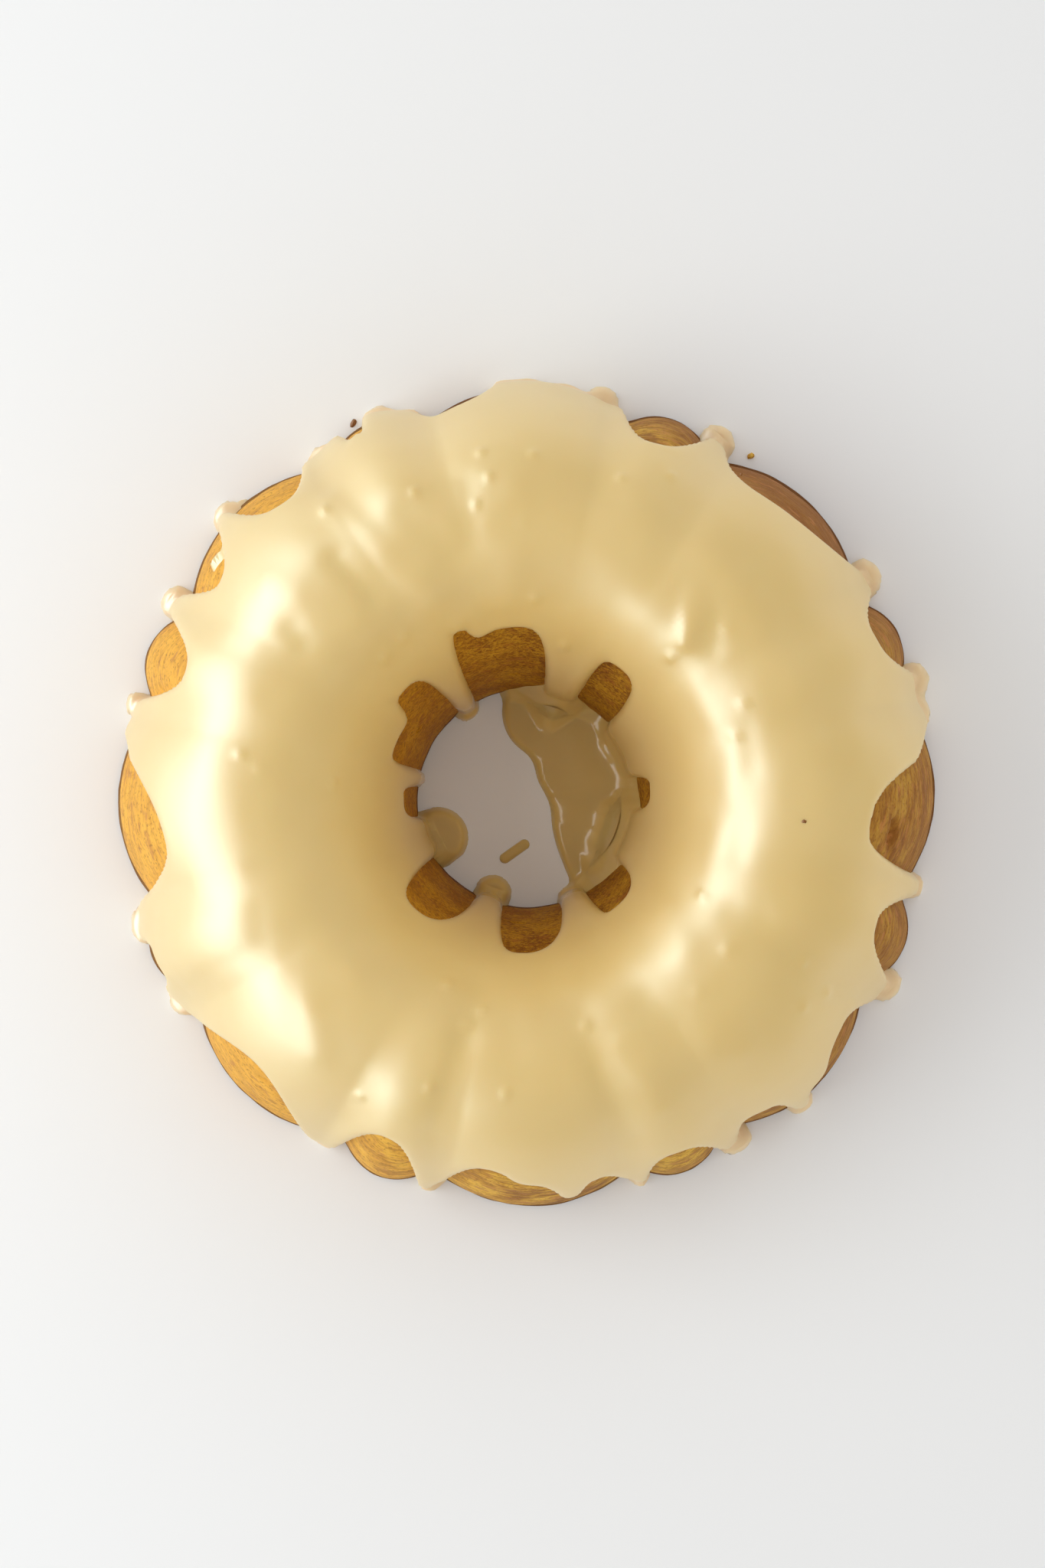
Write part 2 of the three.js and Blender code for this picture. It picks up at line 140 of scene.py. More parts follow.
# Soft ridges and hollows of the poured glaze, seen from above:
# [x and y of one end, x and y of the other, half width, height].
GLAZE_RIDGES = [
    [-55, 83, -27, 56, 4.5, 1.2], [-33, 80, -22, 67, 5, -0.8], [-53, 67, -43, 56, 3.5, -0.9],
    [-52, 52, -44, 46, 6, 1.0], [-72, 60, -65, 57, 5, 0.8], [-65, 47, -62, 43, 4, -0.9],
    [-82, 47, -76, 44, 4, 0.4], [-3, 88, -5, 56, 5, 0.6], [-17, 88, -15, 71, 4, -0.7],
    [-16, 54, -12, 50, 5, -0.5], [20, 79, 18, 72, 5, 0.4], [14, 90, 20, 88, 5, -0.4],
    [37, 88, 43, 82, 5, -0.6], [12, 58, 22, 54, 8, -0.5],
    [46.5, 57, 44, 44, 2.6, 1.5], [34, 53, 40, 46, 8, 0.9], [52, 52, 51, 42, 3.5, -0.9],
    [50, 70, 53, 60, 6, 0.8], [64, 45, 69, 34, 6, 0.8], [66, 66, 71, 54, 6, -0.8],
    [80, 45, 86, 30, 6, -0.5], [47, 31, 52, 22, 4, 0.5], [57, 12, 56, 2, 4, 0.5],
    [53, -10, 51, -20, 4, 0.5], [61, 20, 62, 8, 3, -0.4], [59, -8, 58, -16, 3, -0.4],
    [38, -33, 43, -41, 6, 1.2], [58, -30, 64, -31, 5, -0.8], [88, 12, 92, 4, 5, -0.4],
    [56, -42, 58, -46, 4, 0.5], [33, -57, 41, -60, 6, -0.8], [52, -68, 59, -69, 5, 1.0],
    [72, -44, 74, -58, 6, -0.4], [28, -68, 37, -86, 4, 0.9], [20, -76, 30, -96, 4, -0.7],
    [14, -60, 17, -70, 5, -0.7], [0, -58, 3, -76, 5, 0.5], [-14, -53, -18, -66, 4.5, -0.8],
    [-18, -66, -27, -94, 4, -0.7], [-33, -50, -27, -46, 6, -0.5], [-49, -49, -49, -57, 5, 0.8],
    [-59, -58, -59, -70, 5, 0.8], [-85, -51, -70, -45, 4, 0.5], [-56, -27, -47, -35, 5, -0.6],
    [-92, -23, -80, -20, 4, 0.5], [-74, -30, -74, -37, 4, -0.5], [-90, 20, -88, 4, 6, 0.3],
    [-64, 12, -63, -4, 5, -0.35],
    [6, 22, 4, 17, 3.0, 0.5], [13, 18, 17, 8, 4.0, 0.7], [13, -4, 18, -14, 4.0, 0.7],
]

# A short tongue of glaze on bare crust: direction and length of its root, of its tip, half width.
TONGUE = [140.2, 52.5, 143.4, 47.5, 1.1]
TONGUE_RADIUS = CAKE_RADIUS - 8     # radius of the wall where it lies
TONGUE_BLEND = 1.5

# Small beads in the glaze, where a grain of sugar or a bubble shows: [x, y].
GLAZE_BEADS = [
    [-13, 97.3], [1.8, 96.6], [-31.5, 85.8], [-10.7, 89.8], [-14.3, 81.6], [-1, 76.9],
    [26.2, 89.8], [40.6, 91], [55.4, 47], [59.9, 26.4], [2.2, 55.9], [10.3, 43], [-39.5, 39.4],
    [-34.7, 44.9], [39.9, 39.6], [57.7, 17.3], [-12.4, -58.2], [-47, -83.3], [48.6, -26.8],
    [-56.8, 81], [-22, -51.5], [-17, -62], [16, -62.5], [-6, -81.4], [-27, -80], [77, -45.6],
    [55.6, -41.5], [85, -55], [47.5, -53.5], [-54, 4], [-79.5, 12.4], [-74, 8.2], [78, -58.7],
]

# Bare windows in the glaze, arches that stand on the base of the wall:
# [right corner, peak and left corner in degrees, height along the wall, fullness].
# A fullness of 2 is a half ellipse, and more has squarer shoulders.
OUTER_WINDOWS = [
    [-11.4, -4.5, 6.6, 83, 2.7], [-5, 0.5, 10, 53, 2.4],
    [18.4, 24.6, 30.4, 60, 2.2], [34.8, 50.5, 59.9, 60, 2.5],
    [63.2, 69.9, 75.9, 64.5, 2.2], [94.8, 100.5, 105.7, 39, 2.4],
    [113.8, 115.2, 117, 41, 2.8], [124.3, 130.2, 136.1, 60, 2.4],
    [138.5, 144.3, 149.1, 63, 2], [152.8, 159.4, 165.7, 73, 2.2],
    [171.8, 177, 182.5, 40, 2.4], [172.6, 186.7, 194.6, 73, 2.2],
    [200.6, 203.8, 207.3, 39, 3], [212.8, 224.8, 237.2, 65.5, 1.9],
    [241.3, 247.7, 254.3, 72, 2.2],
    [257.3, 264.5, 271.5, 67, 2.2], [263.5, 270, 276.2, 60, 2.4],
    [276, 280.2, 285.4, 52.5, 1.8], [257.3, 271, 285.4, 41, 4.4],
    [287.3, 292.8, 299, 60, 2.3], [302.2, 307.3, 310.7, 48.5, 2.5],
    [313.4, 318, 325, 40, 3.6], [315.9, 323.4, 328.9, 53, 2.2],
    [333.4, 340, 345.7, 69, 2.2],
]
INNER_WINDOWS = [
    [-6.3, 4.5, 10.9, 34.5, 2.5],
    [42.4, 56, 63.6, 62.5, 3.2],
    [81.1, 95.5, 112, 69, 3.3], [106.2, 112.3, 118, 73, 2.6],
    [128, 139.5, 145.8, 64.5, 3.4], [143, 157.5, 165.5, 50.5, 4.2],
    [173.7, 180.5, 190.3, 34.5, 2.6],
    [212.1, 223, 243.3, 60.5, 2.5],
    [257, 267, 287.8, 59, 2.7],
    [301.7, 309, 325.5, 49, 3.1],
]

# Round feet of the runs outside: [direction, outermost reach from the axis, radius].
OUTER_FEET = [
    [17.1, 127.2, 5.1], [12.5, 124.6, 5.5], [33.2, 127.2, 5.7], [61.9, 127.3, 5.4],
    [79.2, 126.8, 4.5], [84.5, 125.2, 5], [89.8, 126.3, 4.6], [93.2, 125.6, 5],
    [107, 121.8, 3.6], [111.3, 126.6, 5.4], [121, 123.4, 4], [136.6, 128, 5.8],
    [134.2, 125.5, 2.4], [150.8, 126, 4.8], [166.5, 124.8, 3.6], [198.5, 126, 6],
    [210.6, 124.6, 4.4], [239.4, 121, 5], [256, 121.6, 4.6], [286.6, 121.6, 4.2],
    [301.5, 125.3, 5.4], [312, 126.5, 5], [332.6, 127, 5.2], [347.2, 122.6, 3.6],
]

# Round feet in the hole, and the rounds that the pool is made of: [x, y, radius].
INNER_FEET = [
    [-27, -12, 9], [-10.4, -29.2, 5.6], [13.6, -31.2, 4], [-19.2, 28, 4.4], [-34.6, 4.9, 2.2],
]
POOL_ROUNDS = [
    [6.5, 26, 14], [17.5, 10.5, 15], [24.5, -6, 17], [27, -16, 16], [30, -24, 12],
]

# Loose bits, on the floor or on the glaze: [x, y, z, half length, half width, height, turn].
DROPLET = [-3.7, -16.2, 0, 5.2, 1.6, 1.3, 35]
CRUMBS = [
    [67.9, 103.6, 0, 1.1, 0.8, 1.1, 20], [-52.5, 113.6, 0, 1.2, 0.8, 1.0, 60],
    [76.6, -6.2, 87.6, 0.8, 0.5, 0.7, 10], [60, 91, 74.4, 0.5, 0.4, 0.5, 80],
]

# ---- how finely the meshes are divided ----

SPOKES = 600               # points round outside the crest, half as many inside
FINE_ROW = 1.1
COARSE_ROW = 2.6
SKIN_ROW = 1.3
FILLET_ROWS = 6
FLOOR_ROW = 1.1
FINE_OUTSIDE = 90.0        # length up each wall to which the crust and the glaze have fine rows
FINE_INSIDE = 78.0
GLAZE_FINE_INSIDE = 80.0
SKIRT_REACH = 9.0          # how far the glaze's grid runs out over the floor
BLANK_FLOOR = -8.0         # the body that the glaze is cut from stands on this height
CORE_FLOOR = BLANK_FLOOR - 2
CUTTER_FLOOR = BLANK_FLOOR - 20
CORE_SPOKES = 240
CORE_ROW = 4.0
CORE_DEPTH = 0.8           # the glaze's underside lies this far below the face of the crust
SNAP_SHARE = 0.45          # vertices within this share of a cell move onto the glaze's edge
SNAP_PROBE = 0.2           # step over which the slope at the edge is measured
LEAST_SLOPE = 0.2          # keeps the moves of the vertices short where the slope is small
LEAST_GIRTH = 5.0          # and near the axis
LUMP_SPOKES = 28
LUMP_ROWS = 8
LUMP_TOP = 80              # degrees over a lump's side at which its top is closed
LUMP_SEED = 71
LUMP_CELL = 0.7            # size of the unevenness of a crumb
CRUMB_RELIEF = 0.35        # and its depth
# Edges sharper than these degrees aren't smoothed.
CRUST_SHARP = 60
GLAZE_SHARP = 50
DROPLET_SHARP = 80

# ---- small helpers ----

NOISE_VALUES = 4096        # random values in the table, a power of two
HASH_PRIMES = (73856093, 19349663, 83492791)


def smooth_step(start, stop, value):
    share = np.clip((value - start) / (stop - start), 0, 1)
    return share * share * (3 - 2 * share)


def smooth_max(a, b, softness):
    share = np.maximum(softness - np.abs(a - b), 0) / softness
    return np.maximum(a, b) + share * share * softness / 4


def turn_between(angle, middle):
    """Degrees from middle to angle, the short way round."""
    return (angle - middle + 180) % 360 - 180


def value_noise(points, cell, seed):
    """Smooth random values from -1 to 1 that change over about one cell."""
    table = np.random.default_rng(seed).uniform(-1, 1, NOISE_VALUES)
    grid = points / cell
    base = np.floor(grid).astype(np.int64)
    share = grid - base
    share = share * share * (3 - 2 * share)
    total = np.zeros(points.shape[:-1])
    for corner in itertools.product((0, 1), repeat=3):
        spot = base + np.array(corner)
        mixed = spot * np.array(HASH_PRIMES)
        index = (mixed[..., 0] ^ mixed[..., 1] ^ mixed[..., 2]) & (NOISE_VALUES - 1)
        weight = np.prod(np.where(np.array(corner) == 1, share, 1 - share), axis=-1)
        total += weight * table[index]
    return total


def swells(points, kinds, seed):
    """Relief made of several sizes of noise, each given as (cell, depth)."""
    return sum(depth * value_noise(points, cell, seed + number)
               for number, (cell, depth) in enumerate(kinds))


# ---- the shape of the ring ----

def lobe_face(aside, peak, curve):
    """Distance from the axis to the face of one lobe, aside degrees off its middle."""
    centre = peak - curve
    sideways = centre * np.sin(aside * DEGREE)
    bulge = np.sqrt(np.maximum(curve * curve - sideways * sideways, 0))
    return centre * np.cos(aside * DEGREE) + bulge


def flute_depth(angle, lobes):
    """How deep the flutes cut in at a direction."""
    wide_curve, narrow_curve, folds = lobes
    pitch = 360 / LOBE_PAIRS
    from_wide = (angle - LOBE_TURN + pitch / 2) % pitch - pitch / 2
    from_narrow = pitch / 2 - np.abs(from_wide)
    wide = lobe_face(from_wide, CAKE_RADIUS, wide_curve)
    narrow = lobe_face(from_narrow, CAKE_RADIUS - NARROW_LOBE_SETBACK, narrow_curve)
    return CAKE_RADIUS - smooth_max(wide, narrow, folds)


def section_point(way, outside):
    """Radius and height of the unfluted section, and the direction straight off it."""
    reach = CAKE_RADIUS - CREST_RADIUS if outside else HOLE_RADIUS - CREST_RADIUS
    fullness = OUTER_FULLNESS if outside else INNER_FULLNESS
    across = np.abs(np.cos(way * math.pi)) ** (2 / fullness)
    rise = np.abs(np.sin(way * math.pi)) ** (2 / fullness)
    drawn_in = 1 - DRAFT * rise
    out = np.sign(reach) * CAKE_HEIGHT * across ** (fullness - 1)
    up = abs(reach) * (rise ** (fullness - 1) * drawn_in + DRAFT * across ** fullness)
    size = np.hypot(out, up)
    radius = CREST_RADIUS + reach * across * drawn_in
    return radius, CAKE_HEIGHT * rise, out / size, up / size


def wall_table(outside, steps=2000):
    """Lengths up one wall from its base, and the way over the ring at each."""
    half = np.linspace(0, 0.5, steps)
    way = half if outside else 1 - half
    radius, height, _, _ = section_point(way, outside)
    strides = np.hypot(np.diff(radius), np.diff(height))
    return np.concatenate([[0], np.cumsum(strides)]), way


WALLS = {True: wall_table(True), False: wall_table(False)}
OUTER_WALL = WALLS[True][0][-1]
INNER_WALL = WALLS[False][0][-1]


def ring_point(angle, length, lift, lobes, outside):
    """A point of the fluted surface at a length up one wall, lifted straight off it."""
    lengths, ways = WALLS[outside]
    way = np.interp(length, lengths, ways)
    radius, height, out, up = section_point(way, outside)
    fade = 1 - smooth_step(FLUTES_FADE_FROM, FLUTES_FADE_TO, way)
    move = lift - flute_depth(angle, lobes) * fade
    return radius + out * move, np.maximum(height + up * move, 0), out, up


def to_xyz(angle, radius, height):
    return np.stack([radius * np.cos(angle * DEGREE), radius * np.sin(angle * DEGREE), height], -1)


# ---- where the glaze lies ----

def window_distance(window, angle, radius, length):
    """Distance from an arch-shaped window's edge, negative inside the window."""
    right, peak, left, top, fullness = window
    turn = turn_between(angle, peak)
    half_turn = np.where(turn < 0, peak - right, left - peak)
    across = np.abs(turn) / half_turn
    rise = np.maximum(length, 0) / top
    size = np.maximum((across ** fullness + rise ** fullness) ** (1 / fullness), 1e-3)
    growth_across = (across / size) ** (fullness - 1) / (half_turn * DEGREE * radius)
    growth_up = (rise / size) ** (fullness - 1) / top
    return (size - 1) / np.hypot(growth_across, growth_up)


def join_edges(distances):
    """One distance for several edges of the glaze, so that the top of a narrow run is round."""
    shares = sum(np.maximum(1 - distance / EDGE_WIDTH, 0) ** 2 for distance in distances)
    return EDGE_WIDTH * (1 - np.sqrt(shares))


def inside_rounds(rounds, x, y):
    """Distance into the joined rounds, seen from above, negative outside them."""
    deepest = None
    for centre_x, centre_y, size in rounds:
        depth = size - np.hypot(x - centre_x, y - centre_y)
        deepest = depth if deepest is None else smooth_max(deepest, depth, POOL_BLEND)
    return deepest


OUTER_ROUNDS = [
    [(reach - size) * math.cos(turn * DEGREE), (reach - size) * math.sin(turn * DEGREE), size]
    for turn, reach, size in OUTER_FEET
]
INNER_ROUNDS = INNER_FEET + POOL_ROUNDS     # the runs in the hole end in feet or in the pool


def bed_point(angle, length, outside):
    """A point of what the glaze lies on: the wall, a fillet at its foot, or the floor.

    A negative length is the distance out over the floor, past the fillet."""
    side = 1 if outside else -1
    on_wall = length >= WALL_FILLET
    swing = np.clip(length / WALL_FILLET, 0, 1) * math.pi / 2
    low = WALL_FILLET * (1 - np.cos(swing))
    radius, height, out, up = ring_point(
        angle, np.where(on_wall, length, low), 0, GLAZE_LOBES, outside)
    past = np.where(on_wall, 0, WALL_FILLET * (1 - np.sin(swing)) + np.maximum(-length, 0))
    return {
        "radius": np.maximum(radius + side * past, 0),
        "height": np.where(on_wall, height, low),
        "out": np.where(on_wall, out, side * np.sin(swing)),
        "up": np.where(on_wall, up, np.cos(swing)),
        "past": past,
        "length": np.maximum(length, 0),
    }


def inside_tongue(angle, length):
    """Distance from the tongue's edge, positive where it lies."""
    root_turn, root_length, tip_turn, tip_length, half_width = TONGUE
    girth = DEGREE * TONGUE_RADIUS
    across, along = turn_between(angle, root_turn) * girth, length - root_length
    run_across, run_along = (tip_turn - root_turn) * girth, tip_length - root_length
    share = (across * run_across + along * run_along) / (run_across ** 2 + run_along ** 2)
    share = np.clip(share, 0, 1)
    return half_width - np.hypot(across - share * run_across, along - share * run_along)


def inside_glaze(angle, bed, outside):
    """Distance from the glaze's edge, positive where there is glaze."""
    x = bed["radius"] * np.cos(angle * DEGREE)
    y = bed["radius"] * np.sin(angle * DEGREE)
    windows = OUTER_WINDOWS if outside else INNER_WINDOWS
    girth = np.maximum(bed["radius"], HOLE_RADIUS)
    edges = [window_distance(window, angle, girth, bed["length"]) + FOOT_SPREAD * bed["past"]
             for window in windows]
    edges.append(inside_rounds(OUTER_ROUNDS if outside else INNER_ROUNDS, x, y) + bed["height"])
    run = join_edges(edges)
    if outside:
        return smooth_max(run, inside_tongue(angle, bed["length"]), TONGUE_BLEND)
    pool = np.minimum(inside_rounds(POOL_ROUNDS, x, y), POOL_DEPTH - bed["height"])
    return np.maximum(run, pool)


def glaze_lift(inside):
    """Thickness of the glaze a distance inside its edge, with the edge rounded over."""
    short = 1 - np.clip(inside / EDGE_WIDTH, 0, 1)
    lifted = GLAZE_THICKNESS * np.sqrt(1 - short * short)
    return np.where(inside > 0, lifted, np.maximum(inside * SINK_SLOPE, -SUNK))


def foot_lift(rounds, angle, bed):
    """How far the feet stand off a point of what the glaze lies on."""
    turned_x, turned_y = np.cos(angle * DEGREE), np.sin(angle * DEGREE)
    highest = np.full(np.shape(bed["radius"]), -SUNK)
    for centre_x, centre_y, size in rounds:
        flatness = min(FOOT_FLATNESS, FOOT_HEIGHT / size)
        start = np.stack([bed["radius"] * turned_x - centre_x, bed["radius"] * turned_y - centre_y,
                          bed["height"] / flatness])
        along = np.stack([bed["out"] * turned_x, bed["out"] * turned_y, bed["up"] / flatness])
        stretch = (along ** 2).sum(0)
        towards = (start * along).sum(0)
        reach = towards ** 2 - stretch * ((start ** 2).sum(0) - size * size)
        lift = (np.sqrt(np.maximum(reach, 0)) - towards) / stretch
        highest = np.where(reach > 0, np.maximum(highest, lift), highest)
    return highest


def corner_lift(angle, bed):
    """How far the hollow curve between the wall of the hole and the pool stands off its bed."""
    x, y = HOLE_RADIUS * np.cos(angle * DEGREE), HOLE_RADIUS * np.sin(angle * DEGREE)
    size = CORNER_FILL * smooth_step(
        CORNER_FILL_START, CORNER_FILL_FADE, inside_rounds(POOL_ROUNDS, x, y))
    above = np.full(np.shape(angle), POOL_DEPTH + CORNER_FILL)
    coated = smooth_step(-CORNER_COATED, CORNER_COATED,
                         inside_glaze(angle, bed_point(angle, above, False), False))
    thickness = GLAZE_THICKNESS * ((1 + CORNER_SETBACK) * coated - CORNER_SETBACK)
    over = thickness + size - bed["past"]
    up = POOL_SURFACE + size - bed["height"]
    towards = -bed["out"] * over + bed["up"] * up
    reach = towards ** 2 - (over ** 2 + up ** 2 - size ** 2)
    lift = towards - np.sqrt(np.maximum(reach, 0))
    hit = (reach > 0) & (over > 0) & (up > 0) & (size > LEAST_CORNER)
    ends = sum(smooth_step(0.5, 1, 1 - distance / np.maximum(size, LEAST_CORNER))
               for distance in (up, over))
    return np.where(hit, lift - CORNER_BLEND * ends, -SUNK)


# ---- meshes from rings of points ----

def strip(first, second):
    """Faces between two rings of vertex numbers, alike or one with half the other's points."""
    if len(first) < len(second):
        return [face[::-1] for face in strip(second, first)]
    following = np.roll(second, -1)
    if len(first) == len(second):
        return np.stack([first, np.roll(first, -1), following, second], -1).tolist()
    start, between, end = first[::2], first[1::2], np.roll(first, -2)[::2]
    fans = [(start, between, second), (between, following, second), (between, end, following)]
    return [face for fan in fans for face in np.stack(fan, -1).tolist()]


def mesh_from_rings(name, rings, closed_round=False, caps=()):
    """A mesh object from rings of points, outermost first. caps are end points to fan to."""
    numbers = []
    total = 0
    for points in rings:
        numbers.append(np.arange(total, total + len(points)))
        total += len(points)
    faces = []
    for first, second in zip(numbers, numbers[1:]):
        faces += strip(first, second)
    if closed_round:
        faces += strip(numbers[-1], numbers[0])
    vertices = [np.concatenate(rings)]
    for cap, edge in zip(caps, (numbers[0][::-1], numbers[-1])):
        vertices.append(np.array([cap]))
        faces += np.stack([np.full(len(edge), total), edge, np.roll(edge, -1)], -1).tolist()
        total += 1
    mesh = bpy.data.meshes.new(name)
    mesh.from_pydata((np.concatenate(vertices) * MM).tolist(), [], faces)
    mesh.validate()
    thing = bpy.data.objects.new(name, mesh)
    bpy.context.scene.collection.objects.link(thing)
    return thing


def spread(start, stop, pitch):
    """Evenly spaced values from start to just before stop, about a pitch apart."""
    count = max(int(round(abs(stop - start) / pitch)), 1)
    return list(np.linspace(start, stop, count, endpoint=False))


def directions(count):
    """Degrees of a ring's points, evenly spaced."""
    return np.arange(count) * 360 / count


# ---- the cake ----

def pit_depth(pits, angle, radius, length):
    """How deep the listed pits are at a point of the crust."""
    depth = np.zeros(np.broadcast(angle, length).shape)
    for middle, level, half_width, half_height, deep in pits:
        across = turn_between(angle, middle) * DEGREE * radius / half_width
        along = (length - level) / half_height
        depth += deep * np.exp(-(across ** 2 + along ** 2) ** PIT_SHARPNESS)
    return depth


def crust_ring(count, length, outside):
    """One ring of the crust, with its lumps, its pits and the lip at the base."""
    angle = directions(count)
    radius, height, _, _ = ring_point(angle, length, 0, CRUST_LOBES, outside)
    relief = swells(to_xyz(angle, radius, height), CRUST_SWELLS, CRUST_SEED) - CRUST_SETBACK
    relief = relief - pit_depth(OUTER_PITS if outside else INNER_PITS, angle, radius, length)
    if outside:
        above = smooth_step(RIM_HEIGHT - RIM_SOFTNESS, RIM_HEIGHT + RIM_SOFTNESS, length)
        relief = relief - RIM_STEP * above * (1 - smooth_step(RIM_HEIGHT, RIM_FADE, length))
    if length == 0:
        relief = np.minimum(relief, -CRUST_SETBACK)
    radius, height, _, _ = ring_point(angle, length, relief, CRUST_LOBES, outside)
    if length == 0:
        height = np.zeros(count)
    return to_xyz(angle, radius, height)


def make_cake():
    outer = spread(0, FINE_OUTSIDE, FINE_ROW) + spread(FINE_OUTSIDE, OUTER_WALL, COARSE_ROW)
    inner = spread(0, FINE_INSIDE, FINE_ROW) + spread(FINE_INSIDE, INNER_WALL, COARSE_ROW)
    rings = [crust_ring(SPOKES, length, True) for length in outer + [OUTER_WALL]]
    rings += [crust_ring(SPOKES // 2, length, False) for length in reversed(inner)]
    return mesh_from_rings("cake_ring", rings, closed_round=True)


# ---- the glaze ----

def snapped(angle, length, outside, cell):
    """The grid's angles and lengths with the vertices nearest the glaze's edge moved onto it."""
    bed = bed_point(angle, length, outside)
    girth = np.maximum(bed["radius"], LEAST_GIRTH)
    turn = SNAP_PROBE / girth / DEGREE

    def inside_at(angles, lengths):
        return inside_glaze(angles, bed_point(angles, lengths, outside), outside)

    inside = inside_at(angle, length)
    slope_round = inside_at(angle + turn, length) - inside_at(angle - turn, length)
    slope_round = slope_round / (2 * SNAP_PROBE)
    slope_up = inside_at(angle, length + SNAP_PROBE) - inside_at(angle, length - SNAP_PROBE)
    slope_up = slope_up / (2 * SNAP_PROBE)
    steep = np.maximum(slope_round ** 2 + slope_up ** 2, LEAST_SLOPE)
    near = np.abs(inside) / np.sqrt(steep) < SNAP_SHARE * cell
    angle = angle - np.where(near, inside * slope_round / steep, 0) / girth / DEGREE
    length = length - np.where(near, inside * slope_up / steep, 0)
    return angle, length


def relief_of_pour(angle, bed, outside, points):
    """How far the poured glaze stands over or under its plain form."""
    from_crest = OUTER_WALL - bed["length"] if outside else bed["length"] - INNER_WALL
    along_flow = to_xyz(angle, CREST_RADIUS, from_crest / FLOW_STRETCH)
    relief = swells(points, GLAZE_SWELLS, SWELL_SEED) + swells(along_flow, GLAZE_FLOWS, FLOW_SEED)
    x, y = points[..., 0], points[..., 1]
    for start_x, start_y, end_x, end_y, half_width, height in GLAZE_RIDGES:
        run_x, run_y = end_x - start_x, end_y - start_y
        share = ((x - start_x) * run_x + (y - start_y) * run_y) / (run_x ** 2 + run_y ** 2)
        share = np.clip(share, 0, 1)
        aside = np.hypot(x - start_x - share * run_x, y - start_y - share * run_y)
        relief += height * np.exp(-(aside / half_width) ** 2)
    half_width, height = BEAD_SIZE
    for middle_x, middle_y in GLAZE_BEADS:
        aside = np.hypot(x - middle_x, y - middle_y)
        relief += height * np.exp(-(aside / half_width) ** 2)
    return relief - GLAZE_SETBACK


def skin_rings(count, lengths, outside):
    """Rings of the glaze's upper face along one wall and out over the floor."""
    lengths = np.array(lengths)
    cells = np.abs(np.gradient(lengths))[:, None]
    angle = np.tile(directions(count), (len(lengths), 1))
    length = np.tile(lengths[:, None], (1, count))
    angle, length = snapped(angle, length, outside, np.minimum(cells, FINE_ROW))
    bed = bed_point(angle, length, outside)
    inside = inside_glaze(angle, bed, outside)
    foot = foot_lift(OUTER_ROUNDS if outside else INNER_FEET, angle, bed)
    lift = smooth_max(glaze_lift(inside), foot, FOOT_BLEND)
    if not outside:
        lift = smooth_max(lift, corner_lift(angle, bed), CORNER_BLEND)
    points = to_xyz(angle, bed["radius"] + bed["out"] * lift, bed["height"] + bed["up"] * lift)
    deep = smooth_step(0, SWELL_FADE, inside)
    lift = lift + deep * relief_of_pour(angle, bed, outside, points)
    height = bed["height"] + bed["up"] * lift
    over = np.maximum(height - GLAZE_TOP + TOP_SOFTNESS, 0)
    height = height - over + TOP_SOFTNESS * (1 - np.exp(-over / TOP_SOFTNESS))
    return list(to_xyz(angle, bed["radius"] + bed["out"] * lift, height))


def make_glaze_blank():
    """A closed body with the glaze's upper face on top, sunk where the glaze leaves it bare."""
    fillet = [WALL_FILLET * (1 - row / FILLET_ROWS) for row in range(FILLET_ROWS)]
    outer = spread(OUTER_WALL, FINE_OUTSIDE, SKIN_ROW)
    outer += spread(FINE_OUTSIDE, WALL_FILLET, FINE_ROW) + fillet
    outer += spread(0, -SKIRT_REACH, FLOOR_ROW) + [-SKIRT_REACH]
    inner = spread(INNER_WALL, GLAZE_FINE_INSIDE, SKIN_ROW)[1:]
    inner += spread(GLAZE_FINE_INSIDE, WALL_FILLET, FINE_ROW) + fillet
    inner += spread(0, WALL_FILLET - HOLE_RADIUS, FLOOR_ROW)
    rings = skin_rings(SPOKES, outer, True)[::-1] + skin_rings(SPOKES // 2, inner, False)
    under = rings[0].copy()
    under[:, 2] = BLANK_FLOOR
    middle = rings[-1].mean(axis=0)
    return mesh_from_rings("glaze_skin", [under] + rings, caps=((0, 0, BLANK_FLOOR), middle))


def make_core():
    """The ring a little inside the crust, whose form is the underside of the glaze."""
    def core_ring(count, length, outside):
        angle = directions(count)
        radius, height, _, _ = ring_point(angle, length, -CORE_DEPTH, CRUST_LOBES, outside)
        return to_xyz(angle, radius, height)

    outer = spread(0, OUTER_WALL, CORE_ROW) + [OUTER_WALL]
    inner = spread(0, INNER_WALL, CORE_ROW)
    rings = [core_ring(CORE_SPOKES, length, True) for length in outer]
    rings += [core_ring(CORE_SPOKES // 2, length, False) for length in reversed(inner)]
    for edge, place in ((rings[0], 0), (rings[-1], len(rings) + 1)):
        below = edge.copy()
        below[:, 2] = CORE_FLOOR
        rings.insert(place, below)
    return mesh_from_rings("core", rings, closed_round=True)


def make_floor_cutter():
    """A block under the base plane that is wider than the cake."""
    side = 3 * CAKE_RADIUS
    square = np.array([[side, side], [-side, side], [-side, -side], [side, -side]])
    rings = [np.column_stack([square, np.full(4, height)]) for height in (CUTTER_FLOOR, 0)]
    caps = ((0, 0, CUTTER_FLOOR), (0, 0, 0))
    return mesh_from_rings("floor_cutter", rings, caps=caps)


def cut(thing, cutter):
    """Takes the cutter's form out of a mesh, and removes the cutter."""
    step = thing.modifiers.new("cut", "BOOLEAN")
    step.operation = "DIFFERENCE"
    step.solver = "MANIFOLD"
    step.object = cutter
    bpy.context.view_layer.update()
    done = bpy.data.meshes.new_from_object(
        thing.evaluated_get(bpy.context.evaluated_depsgraph_get()))
    thing.modifiers.clear()
    thing.data = done
    bpy.data.objects.remove(cutter)


